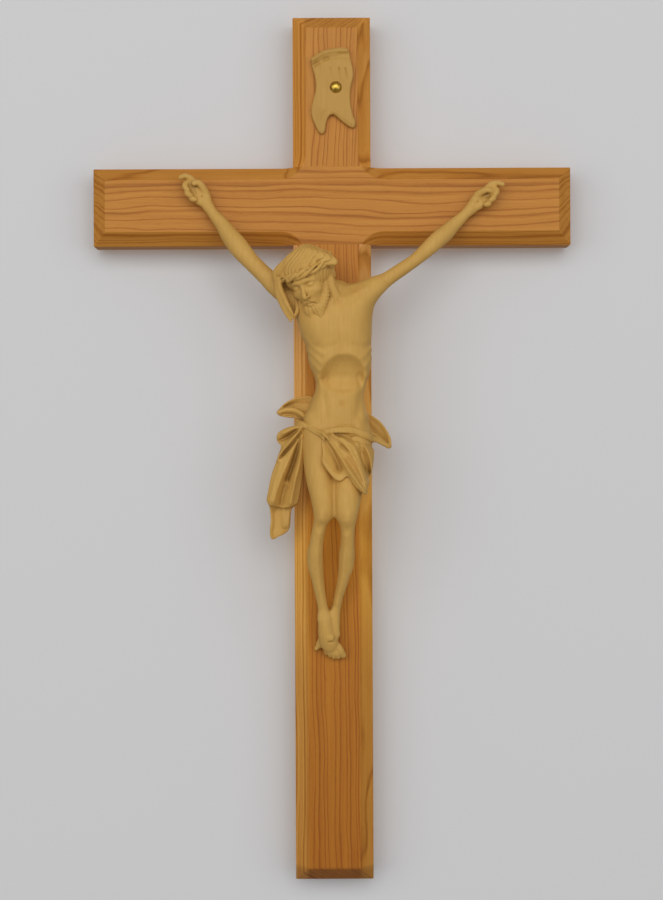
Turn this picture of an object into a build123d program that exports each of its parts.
from build123d import *
import math
import os

# Wall crucifix: an oak cross of two half-lapped bars, a carved figure with glued-on arms, and a scroll.
#
# Row frame, in millimetres: the origin is the centre of the crossing on the flat back face, +X to a
# viewer's right, +Z up, and +Y out of the back, towards the wall. The front of the cross faces -Y.

# ---------------------------------------------------------------- driving dimensions
HEIGHT = 400.0  # overall height of the cross
SPAN = 221.5  # overall width of the cross
BAR = 36.0  # width of both bars
THICK = 18.0  # thickness of both bars
TOP = 88.0  # from the crossing's centre up to the top end
CHAMFER = 6.0  # 45 degree chamfer round the front edge
BEARING = 6.35  # radius of the chamfer cutter's guide bearing
EASE = 0.4  # rounding of every outer edge, by sandpaper

LAP = THICK / 2  # depth of the half lap in each bar
FRONT = -THICK  # y of the cross's front face
BOTTOM = TOP - HEIGHT

SCROLL_THICK = 2.6
SCROLL_NAIL_AT = (2.0, 54.0)  # x and z of the nail through the scroll
NAIL_HEAD_R = 2.9
NAIL_SHANK_R = 0.7
NAIL_LENGTH = 12.0

PLATE_WIDTH, PLATE_HEIGHT, PLATE_THICK = 12.0, 32.0, 1.2
PLATE_Z = 69.0  # centre of the keyhole plate
KEYHOLE_R = 4.0  # takes the head of the wall screw
SLOT_R = 2.0  # takes the shank of the wall screw
SLOT_RISE = 9.0  # from the round hole's centre up to the slot's end
CAVITY_DEPTH = 6.0  # room behind the plate for the wall screw's head
PLATE_SCREW_RISE = 13.0  # of each plate screw from the plate's centre

SCREW_HEAD_R, SCREW_HEAD_DEPTH = 3.4, 2.4
SCREW_SHANK_R = 1.6
SCREW_LENGTH = 26.0
SCREW_SINK = 0.6  # of the screw head below the back face
BODY_SCREWS = ((2.5, -58.0), (2.0, -106.0))  # x and z: between the shoulders, and in the hips

DOWEL_R, DOWEL_LENGTH = 1.5, 12.0  # shoulder dowels
PIN_R, PIN_LENGTH = 0.6, 8.0  # hand and foot pins


def reach(depth):
    """y of a place that lies this far in front of the cross's front face."""
    return FRONT - depth


def direction(x, y, z):
    return Vector(x, y, z).normalized()


def bar_along_y(radius, y_back, y_front, x, z):
    """A round bar along Y, from y_back to y_front."""
    middle = (y_back + y_front) / 2
    return Pos(x, middle, z) * Rot(90, 0, 0) * Cylinder(radius, abs(y_back - y_front))


# ---------------------------------------------------------------- the cross
def outline(inset, radius):
    """The cross's outline on the XZ plane, moved inwards by inset, its four inner corners rounded."""
    half, arm = BAR / 2 - inset, SPAN / 2 - inset
    top, bottom = TOP - inset, BOTTOM + inset
    corner = radius * (1 - math.sqrt(0.5))
    edges = []

    def inner_corner(sx, sz, upright_first):
        """The quarter arc in one inner corner, and its two ends."""
        on_bar = (sx * (half + radius), sz * half)
        on_post = (sx * half, sz * (half + radius))
        middle = (sx * (half + corner), sz * (half + corner))
        ends = (on_post, on_bar) if upright_first else (on_bar, on_post)
        return ends[0], middle, ends[1]

    a, am, b = inner_corner(1, 1, True)
    c, cm, d = inner_corner(1, -1, False)
    e, em, f = inner_corner(-1, -1, True)
    g, gm, h = inner_corner(-1, 1, False)
    runs = [
        [h, (-half, top), (half, top), a],
        [b, (arm, half), (arm, -half), c],
        [d, (half, bottom), (-half, bottom), e],
        [f, (-arm, -half), (-arm, half), g],
    ]
    arcs = [(a, am, b), (c, cm, d), (e, em, f), (g, gm, h)]
    for run, arc in zip(runs, arcs):
        for start, end in zip(run, run[1:]):
            edges.append(Line(start, end))
        edges.append(ThreePointArc(*arc))
    return make_face(edges)


def routed_cross():
    """The whole cross as one body: square at the back, and chamfered round its front edge.

    The cutter's bearing can't reach into the inner corners, so each chamfer sweeps round there in a cone.
    """
    blank = Box(BAR, THICK, HEIGHT, align=(Align.CENTER, Align.MAX, Align.MAX)).moved(Pos(0, 0, TOP))
    blank += Box(SPAN, THICK, BAR, align=(Align.CENTER, Align.MAX, Align.CENTER))
    side = THICK - CHAMFER
    square_part = Box(2 * SPAN, side, 2 * HEIGHT, align=(Align.CENTER, Align.MAX, Align.CENTER))
    wide = Plane.XZ.offset(side) * outline(0, BEARING)
    narrow = Plane.XZ.offset(THICK) * outline(CHAMFER, BEARING + CHAMFER)
    routed = (blank & square_part) + (blank & loft([wide, narrow], ruled=True))
    return fillet([edge for edge in routed.edges() if not in_inner_corner(edge)], EASE)


def in_inner_corner(edge):
    """Whether an edge runs along one of the four lines where the two bars' sides meet."""
    middle = edge.center()
    return abs(abs(middle.X) - BAR / 2) < 0.1 and abs(abs(middle.Z) - BAR / 2) < 0.1


def lap_notch(y_from, y_to):
    """The square notch that lets one bar into the other."""
    return Pos(0, (y_from + y_to) / 2, 0) * Box(BAR, abs(y_to - y_from), BAR)


def screw_shape(length, head_r, head_depth, shank_r, point):
    """A countersunk wood screw along -Y: its head's flat face is at y=0."""
    head = Cone(head_r, shank_r, head_depth, align=(Align.CENTER, Align.CENTER, Align.MIN))
    shank = Cylinder(shank_r, length - point, align=(Align.CENTER, Align.CENTER, Align.MIN))
    tip = Cone(shank_r, 0.2, point, align=(Align.CENTER, Align.CENTER, Align.MIN))
    tip = Pos(0, 0, length - point) * tip
    return Rot(90, 0, 0) * (head + shank + tip)


def cross_recess(head_r):
    """The cross-shaped driver recess in a screw's head, along -Y."""
    wing = Box(head_r * 1.1, 2.4, head_r * 0.24)
    return wing + Rot(0, 90, 0) * wing


def body_screw(x, z, recess=True):
    screw = screw_shape(SCREW_LENGTH, SCREW_HEAD_R, SCREW_HEAD_DEPTH, SCREW_SHANK_R, 4.0)
    if recess:
        screw -= cross_recess(SCREW_HEAD_R)
    return Pos(x, -SCREW_SINK, z) * screw


def plate_screw(z, recess=True):
    screw = screw_shape(10.0, 2.3, 1.1, 1.05, 2.5)
    if recess:
        screw -= Pos(0, 0.5, 0) * cross_recess(2.3)
    return Pos(0, 0, z) * screw


def plate_outline():
    """The hanger plate's rounded outline, on the XZ plane about the plate's centre."""
    return SlotOverall(PLATE_HEIGHT, PLATE_WIDTH, rotation=90)


def keyhole(thickness):
    """The keyhole's opening, from the back face forwards."""
    cut = Pos(0, 0, PLATE_Z) * Box(2 * SLOT_R, thickness, SLOT_RISE)
    cut += Pos(0, 0, PLATE_Z - SLOT_RISE / 2) * Rot(90, 0, 0) * Cylinder(KEYHOLE_R, thickness)
    cut += Pos(0, 0, PLATE_Z + SLOT_RISE / 2) * Rot(90, 0, 0) * Cylinder(SLOT_R, thickness)
    return Pos(0, -thickness / 2, 0) * cut


def hanger_plate():
    plate = extrude(Plane.XZ * Pos(0, PLATE_Z) * plate_outline(), PLATE_THICK)
    plate -= keyhole(PLATE_THICK)
    for sign in (1, -1):
        plate -= plate_screw(PLATE_Z + sign * PLATE_SCREW_RISE, recess=False)
    return plate


def head_cavity():
    """The hollow in the upright behind the keyhole plate."""
    width = 2 * KEYHOLE_R + 1
    outline = SlotOverall(width + SLOT_RISE, width, rotation=90)
    return extrude(Plane.XZ * Pos(0, PLATE_Z) * outline, CAVITY_DEPTH)


def upright(routed):
    bar = routed & Box(BAR, 2 * THICK, 3 * HEIGHT)
    bar -= lap_notch(-LAP, FRONT)
    bar -= extrude(Plane.XZ * Pos(0, PLATE_Z) * plate_outline(), PLATE_THICK)
    bar -= head_cavity()
    for sign in (1, -1):
        bar -= plate_screw(PLATE_Z + sign * PLATE_SCREW_RISE, recess=False)
    for x, z in BODY_SCREWS:
        bar -= body_screw(x, z, recess=False)
        bar -= bar_along_y(SCREW_HEAD_R, 0, -SCREW_SINK, x, z)
    bar -= scroll_nail()
    bar -= pin(*FOOT_PIN_AT)
    return bar


def crossbar(routed):
    bar = routed & Box(2 * SPAN, 2 * THICK, BAR)
    bar -= lap_notch(0, -LAP)
    for place in HAND_PINS_AT:
        bar -= pin(*place)
    return bar


# ---------------------------------------------------------------- scroll and nail
SCROLL_OUTLINE = (
    (-9.3, 66.2),
    (-7.0, 69.0),
    (-1.5, 71.3),
    (6.2, 72.2),
    (8.3, 69.0),
    (9.8, 60.5),
    (8.8, 52.5),
    (8.6, 46.0),
    (10.8, 37.8),
    (10.3, 35.0),
    (7.4, 36.2),
    (3.0, 40.0),
    (0.4, 41.0),
    (-2.2, 38.2),
    (-3.2, 33.2),
    (-4.4, 32.4),
    (-6.2, 34.2),
    (-8.9, 40.5),
    (-8.9, 47.0),
    (-7.4, 54.0),
    (-8.0, 60.0),
)


def scroll():
    """The carved name scroll: a thin slip of wood with a forked lower end, and a bent-over upper edge."""
    edge = Spline(*SCROLL_OUTLINE, periodic=True)
    slip = extrude(Plane.XZ.offset(THICK) * make_face(edge), SCROLL_THICK)
    return slip - scroll_nail()


def scroll_nail():
    x, z = SCROLL_NAIL_AT
    face = reach(SCROLL_THICK)
    shank = bar_along_y(NAIL_SHANK_R, face, face + NAIL_LENGTH - 2, x, z)
    point = Pos(x, face + NAIL_LENGTH - 1, z) * Rot(-90, 0, 0) * Cone(NAIL_SHANK_R, 0.1, 2)
    dome_r = 3.4
    dome = Pos(x, face + math.sqrt(dome_r**2 - NAIL_HEAD_R**2), z) * Sphere(dome_r)
    dome &= Pos(x, face - dome_r, z) * Box(3 * dome_r, 2 * dome_r, 3 * dome_r)
    return shank + point + dome


# ---------------------------------------------------------------- pins and dowels
HAND_PINS_AT = ((-61.8, 4.6), (66.4, 0.6))
FOOT_PIN_AT = (-2.5, -199.0)


def pin(x, z):
    """A thin steel pin, half in the figure and half in the bar."""
    return bar_along_y(PIN_R, FRONT + PIN_LENGTH / 2, FRONT - 3.0, x, z)


# ---------------------------------------------------------------- the figure
def station(place, along, half_width, half_depth):
    """An ellipse square to along, with its width in the plane of the cross and its depth towards Y."""
    side = along.cross(Vector(0, 1, 0)).normalized()
    return Plane(origin=place, x_dir=side, z_dir=along) * Ellipse(half_width, half_depth)


def limb(stations):
    """A smooth limb through stations of (x, depth, z, half width, half depth)."""
    places = [Vector(x, reach(depth), z) for x, depth, z, _, _ in stations]
    sections = []
    for i, place in enumerate(places):
        before, after = places[max(i - 1, 0)], places[min(i + 1, len(places) - 1)]
        sections.append(station(place, (after - before).normalized(), *stations[i][3:]))
    return loft(sections)


def level(stations):
    """A smooth body through level ellipses of (x, depth, z, half width, half depth)."""
    sections = [Plane.XY.offset(z) * Pos(x, reach(y)) * Ellipse(w, d) for x, y, z, w, d in stations]
    return loft(sections)


def finger(radius, *places):
    """A bent finger: round bars of one radius through places of (x, depth, z), with round joints."""
    points = [Vector(x, reach(depth), z) for x, depth, z in places]
    made = Pos(*points[0]) * Sphere(radius)
    for start, end in zip(points, points[1:]):
        run = end - start
        made += Plane(origin=start + run / 2, z_dir=run) * Cylinder(radius, run.length)
        made += Pos(*end) * Sphere(radius)
    return made


TORSO = (
    (2.2, 13.0, -40.0, 9.0, 6.5),
    (1.8, 12.6, -44.0, 17.0, 9.0),
    (1.8, 11.5, -50.0, 17.6, 12.5),
    (1.8, 11.0, -58.0, 15.9, 13.0),
    (2.6, 11.0, -68.0, 14.6, 12.8),
    (3.2, 10.6, -75.0, 13.7, 11.6),
    (3.0, 10.4, -82.0, 11.8, 9.6),
    (2.2, 10.4, -90.0, 12.2, 9.6),
    (1.4, 10.2, -98.0, 14.2, 11.0),
    (1.4, 10.2, -106.0, 16.0, 12.2),
    (1.4, 10.4, -114.0, 15.8, 11.8),
    (1.4, 12.0, -122.0, 12.0, 8.0),
)
RIGHT_THIGH = (
    (-6.5, 11.5, -108.0, 8.2, 9.0),
    (-6.4, 14.0, -118.0, 7.6, 8.0),
    (-6.6, 17.0, -127.5, 6.0, 6.6),
    (-5.9, 20.5, -136.0, 4.3, 5.2),
    (-5.5, 22.5, -143.0, 3.6, 4.4),
    (-6.6, 20.5, -150.0, 3.6, 4.2),
    (-8.3, 16.0, -158.5, 3.9, 4.4),
    (-7.6, 12.5, -170.0, 2.9, 3.3),
    (-5.6, 9.0, -182.0, 2.1, 2.5),
    (-4.6, 7.5, -190.0, 3.0, 3.0),
)
LEFT_THIGH = (
    (9.5, 11.5, -108.0, 8.2, 9.0),
    (9.3, 14.5, -118.0, 8.0, 8.2),
    (8.0, 17.5, -127.5, 6.6, 7.0),
    (6.4, 20.5, -136.0, 5.4, 5.6),
    (5.4, 22.0, -143.0, 4.4, 4.8),
    (5.4, 20.0, -150.0, 3.5, 4.2),
    (5.7, 16.0, -158.5, 3.5, 4.2),
    (4.4, 12.5, -170.0, 2.6, 3.2),
    (1.6, 9.0, -182.0, 2.1, 2.5),
    (-0.4, 7.0, -190.0, 3.0, 3.0),
)
FRONT_FOOT = (
    (-3.0, 8.0, -186.0, 4.3, 3.4),
    (-3.2, 7.6, -192.0, 5.0, 4.4),
    (-2.6, 6.2, -198.0, 5.2, 4.4),
    (-1.6, 4.6, -204.0, 5.4, 3.2),
    (1.6, 3.0, -208.8, 3.6, 1.8),
)
REAR_FOOT = (
    (-2.0, 4.8, -188.0, 3.4, 4.2),
    (-5.0, 3.9, -197.0, 3.6, 3.4),
    (-8.4, 3.0, -203.8, 1.8, 2.0),
)
HIP_WRAP = (
    (1.4, 10.5, -100.5, 15.6, 11.4),
    (1.4, 11.4, -106.0, 17.6, 13.2),
    (2.2, 12.4, -114.0, 17.2, 13.0),
    (3.6, 14.6, -123.0, 14.2, 11.4),
    (4.6, 16.4, -129.0, 10.6, 8.6),
)
HANGING_FOLD = (
    (-16.0, 13.0, -104.0, 3.2, 3.6),
    (-19.6, 13.2, -112.0, 6.2, 4.4),
    (-22.4, 13.0, -124.0, 7.0, 4.6),
    (-24.0, 12.2, -136.0, 7.0, 4.2),
    (-25.4, 11.0, -145.0, 5.0, 3.4),
    (-27.6, 10.2, -152.0, 2.0, 1.6),
)
RIGHT_ARM = (
    (-21.5, 11.8, -41.2, 5.0, 5.0),
    (-26.2, 11.2, -37.6, 4.3, 4.6),
    (-30.4, 10.2, -34.0, 3.9, 4.2),
    (-35.9, 9.2, -28.4, 3.8, 3.9),
    (-40.9, 8.2, -22.7, 4.1, 3.9),
    (-45.5, 7.2, -17.0, 4.6, 4.0),
    (-49.6, 6.2, -11.6, 4.1, 3.6),
    (-53.4, 5.2, -6.6, 3.0, 2.9),
    (-57.0, 4.2, -1.4, 2.6, 2.2),
    (-59.6, 3.4, 2.2, 3.6, 2.4),
    (-61.6, 3.1, 6.0, 3.9, 2.8),
    (-62.8, 3.0, 9.2, 2.8, 2.0),
)
LEFT_ARM = (
    (21.0, 11.8, -37.2, 5.2, 5.0),
    (26.4, 11.2, -33.4, 3.8, 4.4),
    (31.9, 10.2, -29.6, 3.1, 3.8),
    (37.5, 9.2, -25.9, 3.1, 3.6),
    (43.5, 8.2, -21.7, 3.8, 3.8),
    (48.1, 7.2, -17.9, 4.0, 3.8),
    (52.8, 6.2, -13.2, 3.4, 3.4),
    (57.1, 5.2, -9.4, 2.8, 2.8),
    (61.3, 4.2, -5.4, 2.3, 2.1),
    (64.2, 3.4, -2.2, 3.4, 2.4),
    (67.2, 3.1, 1.0, 3.9, 2.8),
    (69.8, 3.0, 3.6, 2.8, 2.0),
)
# The planes of the two glued shoulder joints: a place on each, and the way the arm leaves.
RIGHT_SHOULDER = (Vector(-23.4, reach(11.6), -39.8), direction(-0.76, 0.10, 0.64))
LEFT_SHOULDER = (Vector(23.2, reach(11.6), -35.6), direction(0.80, 0.10, 0.58))
HEAD_AT = (-10.4, 20.5, -36.0)
HEAD_TURN = (-34.0, 14.0, -26.0)  # nod, roll and turn, in degrees
HUGE = 400.0


def behind_joint(joint):
    """Everything on the body's side of a shoulder joint."""
    place, leaves = joint
    return Plane(origin=place - leaves * HUGE / 2, z_dir=leaves) * Box(HUGE, HUGE, HUGE)


def shoulder_dowel(joint):
    place, leaves = joint
    return Plane(origin=place, z_dir=leaves) * Cylinder(DOWEL_R, DOWEL_LENGTH)


def behind_front_face():
    """Everything behind the cross's front face, which the figure's flat back is planed to."""
    return Box(HUGE, HUGE, HUGE, align=(Align.CENTER, Align.MIN, Align.CENTER)).moved(Pos(0, FRONT, 0))


def head():
    """The bowed head in its own frame, face towards -Y, then turned into place."""
    skull = Pos(0, 0.8, 3.4) * scale(Sphere(1), (8.2, 9.6, 8.9))
    face = Pos(0, -2.6, -3.6) * scale(Sphere(1), (6.4, 6.6, 9.4))
    beard = Pos(0, -4.6, -11.2) * scale(Sphere(1), (4.2, 4.0, 5.6))
    nose = Pos(0, -9.0, -2.4) * scale(Sphere(1), (1.3, 1.6, 3.0))
    hair = Pos(0, 2.4, -1.6) * scale(Sphere(1), (9.2, 8.0, 11.0))
    wreath = Pos(0, 0.0, 4.2) * Rot(-12, 0, 0) * Torus(8.9, 1.7)
    made = skull + face + beard + nose + hair + wreath
    nod, roll, turn = HEAD_TURN
    x, depth, z = HEAD_AT
    return Pos(x, reach(depth), z) * Rot(0, roll, 0) * Rot(0, 0, turn) * Rot(-nod, 0, 0) * made


def flare(x, depth, z, lean, half_length, half_height):
    """A free end of the loincloth: a thin shell-like leaf that stands off the hip."""
    return Pos(x, reach(depth), z) * Rot(0, lean, 0) * scale(Sphere(1), (half_length, 4.6, half_height))


def whole_body():
    """Torso, head, legs, feet and loincloth, as carved from one block, before its joints are cut."""
    made = level(TORSO)
    made += limb(RIGHT_THIGH)
    made += limb(LEFT_THIGH)
    made += level(HIP_WRAP)
    made += limb(REAR_FOOT)
    made += limb(FRONT_FOOT)
    neck = ((3.0, 12.5, -45.0, 7.0, 5.6), (-1.5, 14.0, -41.0, 5.4, 5.4), (-6.5, 17.0, -37.0, 5.0, 5.2))
    shoulder = ((-10.0, 12.0, -48.0, 7.5, 7.0), (-17.0, 12.0, -44.5, 6.2, 6.2))
    made += limb(neck)
    made += limb(shoulder + (RIGHT_ARM[0], RIGHT_ARM[1]))
    made += limb(((9.0, 12.0, -48.0, 8.0, 7.0), (16.0, 12.0, -42.5, 6.8, 6.4), LEFT_ARM[0], LEFT_ARM[1]))
    made += head()
    made += finger(2.4, (-21.5, 17.0, -41.0), (-20.0, 17.0, -46.0), (-18.4, 16.0, -51.5))
    made += flare(-17.5, 8.0, -96.0, -20.0, 9.5, 4.8)
    made += flare(17.5, 8.0, -107.0, 40.0, 9.0, 5.4)
    return made


def figure_body():
    made = whole_body() & behind_joint(RIGHT_SHOULDER) & behind_joint(LEFT_SHOULDER)
    made -= behind_front_face()
    made -= limb(HANGING_FOLD)
    for joint in (RIGHT_SHOULDER, LEFT_SHOULDER):
        made -= shoulder_dowel(joint)
    for x, z in BODY_SCREWS:
        made -= body_screw(x, z, recess=False)
    made -= pin(*FOOT_PIN_AT)
    return made


def hanging_fold():
    """The long free end of the loincloth, carved from its own slip of wood and glued to the hip."""
    return limb(HANGING_FOLD)


def right_arm():
    made = limb(RIGHT_ARM)
    made += finger(1.3, (-62.6, 3.2, 9.4), (-66.4, 3.6, 12.4), (-68.8, 5.4, 12.0))
    made += finger(1.3, (-64.0, 3.2, 7.6), (-67.2, 4.4, 9.2), (-67.2, 6.4, 7.6))
    made += finger(1.25, (-64.6, 3.2, 5.4), (-67.0, 4.6, 5.0), (-65.0, 6.4, 4.0))
    made += finger(1.15, (-64.2, 3.2, 2.6), (-66.0, 4.8, 1.6), (-63.8, 6.2, 1.2))
    made += finger(1.4, (-59.0, 4.4, 5.6), (-60.6, 5.8, 8.6), (-62.4, 6.2, 9.8))
    return finish_arm(made, RIGHT_SHOULDER, HAND_PINS_AT[0])


def left_arm():
    made = limb(LEFT_ARM)
    made += finger(1.3, (69.6, 3.2, 5.4), (73.8, 3.6, 8.6), (77.4, 5.0, 8.6))
    made += finger(1.3, (70.4, 3.2, 3.6), (74.0, 4.4, 5.6), (75.6, 6.4, 4.4))
    made += finger(1.25, (70.6, 3.2, 1.4), (73.2, 4.6, 2.0), (72.2, 6.4, 0.4))
    made += finger(1.15, (69.8, 3.2, -1.0), (72.0, 4.8, -1.2), (70.6, 6.2, -2.4))
    made += finger(1.4, (66.4, 4.4, 2.6), (69.0, 5.8, 4.8), (70.8, 6.2, 5.4))
    return finish_arm(made, LEFT_SHOULDER, HAND_PINS_AT[1])


def finish_arm(made, joint, pin_at):
    """Planes the shoulder end flat, and bores the dowel and pin holes."""
    return made - behind_joint(joint) - shoulder_dowel(joint) - pin(*pin_at)


# ---------------------------------------------------------------- write the parts
def main():
    routed = routed_cross()
    nodes = {
        "upright": upright(routed),
        "crossbar": crossbar(routed),
        "figure_body": figure_body(),
        "figure_right_arm": right_arm(),
        "figure_left_arm": left_arm(),
        "loincloth_hanging_fold": hanging_fold(),
        "right_shoulder_dowel": shoulder_dowel(RIGHT_SHOULDER),
        "left_shoulder_dowel": shoulder_dowel(LEFT_SHOULDER),
        "right_hand_pin": pin(*HAND_PINS_AT[0]),
        "left_hand_pin": pin(*HAND_PINS_AT[1]),
        "foot_pin": pin(*FOOT_PIN_AT),
        "upper_body_screw": body_screw(*BODY_SCREWS[0]),
        "hip_body_screw": body_screw(*BODY_SCREWS[1]),
        "scroll": scroll(),
        "scroll_nail": scroll_nail(),
        "hanger_plate": hanger_plate(),
        "upper_hanger_screw": plate_screw(PLATE_Z + PLATE_SCREW_RISE),
        "lower_hanger_screw": plate_screw(PLATE_Z - PLATE_SCREW_RISE),
    }
    os.makedirs("parts", exist_ok=True)
    for name, shape in nodes.items():
        export_step(shape, f"parts/{name}.step")
        print(f"{name}: {len(shape.solids())} solid, {shape.volume:.1f} mm3")


main()
